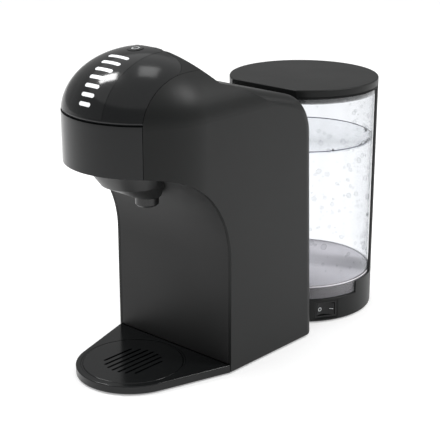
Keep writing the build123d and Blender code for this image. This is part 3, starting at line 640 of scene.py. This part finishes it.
def make_water():
    """The water's surface layer, with a raised rim where it climbs the wall.

    The water below it is left out: it is clear, so it would add nothing to see.
    """
    sizes = bpy.context.scene.water_sizes
    shell = surface_of("tank_shell")
    angles = round_angles(WATER_STEPS)
    level = water_level()
    underside = level - sizes.depth
    gap = 0.1 * MM
    climb = [(1.0 * MM, gap), (0.45 * MM, 0.5 * MM), (0.12 * MM, 1.3 * MM), (0, 2.6 * MM)]
    sides = [wall_ring(shell, height, gap, angles) for height in (underside, level)]
    top = [[point + UP * rise for point in wall_ring(shell, level, inset, angles)]
           for rise, inset in climb]
    shape, rows = skin_rings(sides + top)
    shape.faces.new(rows[0])
    shape.faces.new(rows[-1])
    # The raised rim where the water climbs the wall takes the painted shade of the water's edge.
    side, surface, edge = range(3)
    kinds = [kind for kind in (side, edge, edge, surface, surface) for _ in angles]
    for face, kind in zip(shape.faces, kinds + [side, surface]):
        face.material_index = kind
    mesh = to_mesh(shape, "tank_water")
    piece = new_piece("tank_water", mesh)
    for material in (water_side(), water_top(), meniscus_painted_shade()):
        mesh.materials.append(material)
    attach(piece, "tank")


def bead_mesh(name, flatness, depth, lift):
    """A ball of radius 1, cut flat at a depth below its middle, raised, then flattened."""
    shape = bmesh.new()
    bmesh.ops.create_icosphere(shape, subdivisions=2, radius=1.0)
    cut = bmesh.ops.bisect_plane(
        shape, geom=shape.verts[:] + shape.edges[:] + shape.faces[:],
        plane_co=(0, 0, -depth), plane_no=(0, 0, -1), clear_outer=True)
    rim = [part for part in cut["geom_cut"] if isinstance(part, bmesh.types.BMEdge)]
    bmesh.ops.contextual_create(shape, geom=rim)
    for vertex in shape.verts:
        vertex.co.z = (vertex.co.z + lift) * flatness
    return to_mesh(shape, name)


def group_with(name, inputs):
    """A node group for a modifier, with a mesh in and out and the named inputs."""
    tree = bpy.data.node_groups.new(name, "GeometryNodeTree")
    tree.interface.new_socket("Geometry", in_out="INPUT", socket_type="NodeSocketGeometry")
    tree.interface.new_socket("Geometry", in_out="OUTPUT", socket_type="NodeSocketGeometry")
    ids = {}
    for label, kind in inputs:
        socket = tree.interface.new_socket(label, in_out="INPUT", socket_type=kind)
        ids[label] = socket.identifier
    return tree, ids


def tree_node(tree, kind, settings=None, values=None):
    """Adds a geometry node, sets it up and feeds its sockets."""
    node = tree.nodes.new(kind)
    for name, value in (settings or {}).items():
        setattr(node, name, value)
    for name, value in (values or {}).items():
        if isinstance(value, bpy.types.NodeSocket):
            tree.links.new(value, node.inputs[name])
        else:
            node.inputs[name].default_value = value
    return node


def bead_tree(name, place_beads):
    """Scatters beads over what place_beads chooses, each with its own size."""
    tree, ids = group_with(name, [
        ("Bead", "NodeSocketObject"), ("Count", "NodeSocketInt"),
        ("Largest", "NodeSocketFloat"), ("Smallest", "NodeSocketFloat"),
        ("Seed", "NodeSocketInt"), ("Material", "NodeSocketMaterial")])
    start = tree_node(tree, "NodeGroupInput").outputs
    points, rotation = place_beads(tree, start)
    chance = tree_node(tree, "FunctionNodeRandomValue", None, {"Seed": start["Seed"]})
    powered = tree_node(tree, "ShaderNodeMath", {"operation": "POWER"},
                        {0: chance.outputs[1], 1: SMALL_BEADS})
    size = tree_node(tree, "ShaderNodeMapRange", None, {
        "Value": powered.outputs[0], "To Min": start["Smallest"],
        "To Max": start["Largest"]})
    bead = tree_node(tree, "GeometryNodeObjectInfo", None, {"Object": start["Bead"]})
    placed = tree_node(tree, "GeometryNodeInstanceOnPoints", None, {
        "Points": points, "Instance": bead.outputs["Geometry"], "Rotation": rotation,
        "Scale": size.outputs[0]})
    real = tree_node(tree, "GeometryNodeRealizeInstances", None,
                     {"Geometry": placed.outputs[0]})
    painted = tree_node(tree, "GeometryNodeSetMaterial", None, {
        "Geometry": real.outputs[0], "Material": start["Material"]})
    end = tree_node(tree, "NodeGroupOutput")
    tree.links.new(painted.outputs[0], end.inputs[0])
    return tree, ids


def over_wall(tree, start):
    """Points spread over the carrier's faces, turned to the wall."""
    spread = tree_node(tree, "GeometryNodeDistributePointsOnFaces",
                       {"distribute_method": "POISSON"},
                       {"Mesh": start["Geometry"], "Seed": start["Seed"],
                        "Distance Min": BEAD_SPACING})
    area = tree_node(tree, "GeometryNodeAttributeStatistic", {"domain": "FACE"},
                     {"Geometry": start["Geometry"]})
    face_area = tree_node(tree, "GeometryNodeInputMeshFaceArea")
    tree.links.new(face_area.outputs[0], area.inputs["Attribute"])
    density = tree_node(tree, "ShaderNodeMath", {"operation": "DIVIDE"},
                        {0: start["Count"], 1: area.outputs["Sum"]})
    tree.links.new(density.outputs[0], spread.inputs["Density Max"])
    return spread.outputs["Points"], spread.outputs["Rotation"]


def along_edge(tree, start):
    """Points along the carrier's line, turned across it."""
    line = tree_node(tree, "GeometryNodeMeshToCurve", None, {"Mesh": start["Geometry"]})
    points = tree_node(tree, "GeometryNodeCurveToPoints", {"mode": "COUNT"},
                       {"Curve": line.outputs[0], "Count": start["Count"]})
    turned = tree_node(tree, "FunctionNodeAlignRotationToVector", {"axis": "Z"},
                       {"Vector": points.outputs["Normal"]})
    return points.outputs["Points"], turned.outputs[0]


def scatter(name, carrier, tree, ids, settings):
    """Runs the tree on a carrier and keeps the result as one plain mesh."""
    modifier = carrier.modifiers.new(name, "NODES")
    modifier.node_group = tree
    for label, value in settings.items():
        modifier[ids[label]] = value
    bpy.context.view_layer.update()
    depsgraph = bpy.context.evaluated_depsgraph_get()
    mesh = bpy.data.meshes.new_from_object(carrier.evaluated_get(depsgraph))
    mesh.name = name
    if not mesh.polygons:
        raise RuntimeError(f"{name}: nothing was made")
    mesh.materials.clear()
    mesh.materials.append(settings["Material"])
    for polygon in mesh.polygons:
        polygon.material_index = 0
    carrier.modifiers.remove(modifier)
    bpy.data.objects.remove(carrier)
    return new_piece(name, mesh)


def make_beads(name, carrier, place_beads, count, largest, smallest, shape):
    """Scatters droplets over a carrier and keeps them as one piece on the tank."""
    sizes = bpy.context.scene.water_sizes
    bead = new_piece(name + "_pattern", bead_mesh(name + "_pattern", **shape))
    tree, ids = bead_tree(name + "_tree", place_beads)
    piece = scatter(name, carrier, tree, ids, {
        "Bead": bead, "Count": count, "Largest": largest, "Smallest": smallest,
        "Seed": sizes.seed, "Material": droplet()})
    bpy.data.objects.remove(bead)
    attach(piece, "tank")


def make_droplets():
    """Droplets and small air bubbles on the inside of the clear wall."""
    sizes = bpy.context.scene.water_sizes
    shell = surface_of("tank_shell")
    low, high = tank_floor() + BEAD_MARGIN_LOW, TANK_HIGH.z - BEAD_MARGIN_TOP
    heights = [low + (high - low) * k / WALL_ROWS for k in range(WALL_ROWS + 1)]
    rings = [wall_ring(shell, height, 0.05 * MM, round_angles(WALL_STEPS))
             for height in heights]
    shape, _ = skin_rings(rings)
    mesh = to_mesh(shape, "droplet_carrier")
    mesh.flip_normals()
    carrier = new_piece("droplet_carrier", mesh)
    make_beads("wall_droplets", carrier, over_wall, sizes.beads, largest=sizes.bead_size,
               smallest=0.22 * sizes.bead_size,
               shape={"flatness": 0.55, "depth": 0.8, "lift": 0.8})


def make_line_bubbles():
    """A chain of bubbles along the water's edge, on the machine's right side."""
    sizes = bpy.context.scene.water_sizes
    shell = surface_of("tank_shell")
    first, last = math.radians(-30), math.radians(28)
    angles = [first + (last - first) * k / CHAIN_STEPS for k in range(CHAIN_STEPS + 1)]
    ring = wall_ring(shell, water_level() + 0.3 * MM, 2.0 * MM, angles)
    mesh = bpy.data.meshes.new("bubble_carrier")
    mesh.from_pydata(ring, [(k, k + 1) for k in range(CHAIN_STEPS)], [])
    carrier = new_piece("bubble_carrier", mesh)
    make_beads("line_bubbles", carrier, along_edge, sizes.line_bubbles,
               largest=0.85 * sizes.bead_size, smallest=0.45 * sizes.bead_size,
               shape={"flatness": 1.0, "depth": 0.99, "lift": 0.0})


# ---- printed marks ----


def print_on(name, node, rows, closed, direction, material, body):
    """Lays rows of points onto a part as a thin print that follows its surface."""
    surface = surface_of(node)
    lift, back = 0.04 * MM, 40 * MM
    laid = [[hit(surface, point - direction * back, direction) for point in row]
            for row in rows]
    tops = [[point - direction * lift for point in row] for row in laid]
    feet = [[point + direction * lift for point in row] for row in laid]
    shape = bmesh.new()
    upper = [[shape.verts.new(point) for point in row] for row in tops]
    lower = [[shape.verts.new(point) for point in row] for row in feet]
    count = len(rows[0])
    spans = range(count if closed else count - 1)
    for k in spans:
        after = (k + 1) % count
        for sheet in (upper, lower):
            for first, second in zip(sheet, sheet[1:]):
                shape.faces.new((first[k], first[after], second[after], second[k]))
        for line in (0, -1):
            low, high = lower[line], upper[line]
            shape.faces.new((low[k], low[after], high[after], high[k]))
    if not closed:
        for end in (0, -1):
            for k in range(len(rows) - 1):
                corners = (lower[k][end], lower[k + 1][end], upper[k + 1][end], upper[k][end])
                shape.faces.new(corners)
    piece = new_piece(name, to_mesh(shape, name, smooth=False), material)
    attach(piece, body)


def ring_rows(middle, side, up, radius, width):
    """Points of a printed ring round a middle point."""
    rows = []
    for r in (radius - width / 2, radius + width / 2):
        rows.append([middle + (side * math.cos(a) + up * math.sin(a)) * r
                     for a in round_angles(RING_STEPS)])
    return rows


def bar_rows(middle, side, up, length, width):
    """Points of a printed bar with a short length across."""
    rows = []
    for shift in (-width / 2, width / 2):
        rows.append([middle + up * shift + side * (length * (k / BAR_STEPS - 0.5))
                     for k in range(BAR_STEPS + 1)])
    return rows


def make_button_mark():
    """A plain ring on the start button."""
    sizes = bpy.context.scene.mark_sizes
    low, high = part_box("start_button")
    middle = (low + high) / 2
    rows = ring_rows(middle, Vector((1, 0, 0)), Vector((0, 1, 0)), sizes.ring, sizes.line)
    print_on("button_ring", "start_button", rows, True, DOWN, white_print(), "start_button")


def make_switch_marks():
    """The off ring and the on bar of the rocker."""
    sizes = bpy.context.scene.mark_sizes
    joint = JOINTS["power_rock"]
    pivot = Vector(joint["pos_m"])
    out = Vector((pivot.x, pivot.y - TANK_Y, 0)).normalized()
    side = UP.cross(out)
    low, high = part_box("power_rocker")
    mark_place, mark_line = 0.24, 0.8 * sizes.line
    reach = mark_place * (high - low).to_2d().length
    ink = white_print()
    off_at, on_at = pivot - side * reach, pivot + side * reach
    rows = ring_rows(off_at, side, UP, sizes.switch_ring, mark_line)
    print_on("switch_off_mark", "power_rocker", rows, True, -out, ink, "power_rocker")
    rows = bar_rows(on_at, side, UP, 2 * sizes.switch_ring, mark_line)
    print_on("switch_on_mark", "power_rocker", rows, False, -out, ink, "power_rocker")


# ---- studio ----


def hang(name, data, target, turn, tilt, distance):
    """Hangs a light or camera round a point, aimed at it; turn 0 is the front, + is right."""
    hung = bpy.data.objects.new(name, data)
    bpy.context.scene.collection.objects.link(hung)
    towards = Vector((math.sin(turn) * math.cos(tilt), -math.cos(turn) * math.cos(tilt),
                      math.sin(tilt)))
    hung.location = target + towards * distance
    hung.rotation_mode = "QUATERNION"
    hung.rotation_quaternion = towards.to_track_quat("Z", "Y")
    return hung


def softbox(name, power, size, target, turn, tilt, distance):
    data = bpy.data.lights.new(name, "AREA")
    data.shape = "RECTANGLE"
    data.size, data.size_y = size
    data.energy = power
    hang(name, data, target, math.radians(turn), math.radians(tilt), distance)


def make_floor(glow):
    """A wide pale floor, very slightly uneven in tone, that lights itself a little."""
    s = Shader("pale_floor")
    cloud = s.noise(0.8, detail=2)
    surface = s.principled({
        "Base Color": s.blend(cloud, (0.80, 0.80, 0.80), (0.82, 0.82, 0.82)),
        "Roughness": 0.9 + cloud * 0.05, "Specular IOR Level": 0.1,
        "Emission Color": (1, 1, 1, 1), "Emission Strength": glow})
    shape = bmesh.new()
    bmesh.ops.create_grid(shape, x_segments=8, y_segments=8, size=FLOOR_HALF)
    floor = new_piece("floor", to_mesh(shape, "floor"), s.finish(surface))


def make_sky(strength):
    world = bpy.data.worlds.new("studio")
    world.use_nodes = True
    background = world.node_tree.nodes["Background"]
    background.inputs["Color"].default_value = (1.0, 1.0, 1.0, 1.0)
    background.inputs["Strength"].default_value = strength
    bpy.context.scene.world = world


def make_studio():
    sizes = bpy.context.scene.studio_sizes
    target = Vector(sizes.target)
    make_floor(sizes.glow)
    make_sky(sizes.sky)
    fill = bpy.data.lights.new("fill", "SUN")
    fill.energy = sizes.fill
    fill.angle = FILL_SPREAD
    hang("fill", fill, target, 0, FILL_TILT, FILL_DISTANCE)
    for name, setting, share, size, turn, tilt, distance in SOFTBOXES:
        softbox(name, share * getattr(sizes, setting), size, target, turn, tilt, distance)
    camera = bpy.data.cameras.new("camera")
    camera.lens = sizes.lens
    camera.sensor_width = 36.0
    camera.clip_start, camera.clip_end = 0.05, 50.0
    view = hang("camera", camera, target, sizes.turn, sizes.tilt, sizes.distance)
    bpy.context.scene.camera = view
    bpy.context.scene.view_settings.view_transform = "Standard"


# ---- operators ----


class MACHINE_OT_casing(Operator):
    """Finish the casing: panels, hood, head front, cup bay lining, dock, tray and lid"""

    bl_idname = "machine.casing"
    bl_label = "Casing"

    def execute(self, context):
        finish_slots("case_satin", "case_gloss", "lining_black")
        return {"FINISHED"}


class MACHINE_OT_display(Operator):
    """Finish the control strip, its lenses and the start button"""

    bl_idname = "machine.display"
    bl_label = "Display"

    def execute(self, context):
        finish_slots("strip_gloss", "lens_white")
        make_button_mark()
        return {"FINISHED"}


class MACHINE_OT_brewing(Operator):
    """Finish the brewing parts and seals"""

    bl_idname = "machine.brewing"
    bl_label = "Brewing parts"

    def execute(self, context):
        finish_slots("brew_black", "silicone")
        return {"FINISHED"}


class MACHINE_OT_inside(Operator):
    """Finish what stands inside the casing, with screws, springs and feet"""

    bl_idname = "machine.inside"
    bl_label = "Inside"

    def execute(self, context):
        finish_slots("inner_plastic", "steel", "cast_aluminium", "circuit_green",
                     "rubber_black")
        return {"FINISHED"}


class MACHINE_OT_tank(Operator):
    """Finish the clear tank and its frame"""

    bl_idname = "machine.tank"
    bl_label = "Tank"

    def execute(self, context):
        finish_slots("clear_tank")
        paint("tank_frame", matt_frame())
        return {"FINISHED"}


class MACHINE_OT_water(Operator):
    """Fill the tank with water"""

    bl_idname = "machine.water"
    bl_label = "Water"

    def execute(self, context):
        make_water()
        return {"FINISHED"}


class MACHINE_OT_droplets(Operator):
    """Scatter droplets over the tank's wall and bubbles along the water's edge"""

    bl_idname = "machine.droplets"
    bl_label = "Droplets"

    def execute(self, context):
        make_droplets()
        make_line_bubbles()
        return {"FINISHED"}


class MACHINE_OT_switch_marks(Operator):
    """Print the off and on marks on the power rocker"""

    bl_idname = "machine.switch_marks"
    bl_label = "Switch marks"

    def execute(self, context):
        make_switch_marks()
        return {"FINISHED"}


class MACHINE_OT_studio(Operator):
    """Set the floor, lights and camera"""

    bl_idname = "machine.studio"
    bl_label = "Studio"

    def execute(self, context):
        make_studio()
        return {"FINISHED"}


OPERATORS = (
    MACHINE_OT_casing, MACHINE_OT_display, MACHINE_OT_brewing, MACHINE_OT_inside,
    MACHINE_OT_tank, MACHINE_OT_water, MACHINE_OT_droplets, MACHINE_OT_switch_marks,
    MACHINE_OT_studio,
)
SETTINGS = {
    "casing_looks": CasingLooks,
    "water_sizes": WaterSizes,
    "mark_sizes": MarkSizes,
    "studio_sizes": StudioSizes,
}


class MACHINE_PT_looks(Panel):
    """Sidebar panel of the coffee machine's sizes, colours and steps"""

    bl_idname = "MACHINE_PT_looks"
    bl_label = "Coffee machine"
    bl_space_type = "VIEW_3D"
    bl_region_type = "UI"
    bl_category = "Coffee machine"

    def draw(self, context):
        for name in SETTINGS:
            settings = getattr(context.scene, name)
            column = self.layout.column(align=True)
            for field in settings.__annotations__:
                column.prop(settings, field)
        for operator in OPERATORS:
            self.layout.operator(operator.bl_idname)


CLASSES = (*SETTINGS.values(), *OPERATORS, MACHINE_PT_looks)


def register():
    for cls in CLASSES:
        bpy.utils.register_class(cls)
    for name, group in SETTINGS.items():
        setattr(bpy.types.Scene, name, PointerProperty(type=group))


def unregister():
    for name in SETTINGS:
        delattr(bpy.types.Scene, name)
    for cls in reversed(CLASSES):
        bpy.utils.unregister_class(cls)


def main():
    """Builds the looks in order."""
    register()
    for operator in OPERATORS:
        category, name = operator.bl_idname.split(".")
        getattr(getattr(bpy.ops, category), name)()


if __name__ == "__main__":
    main()
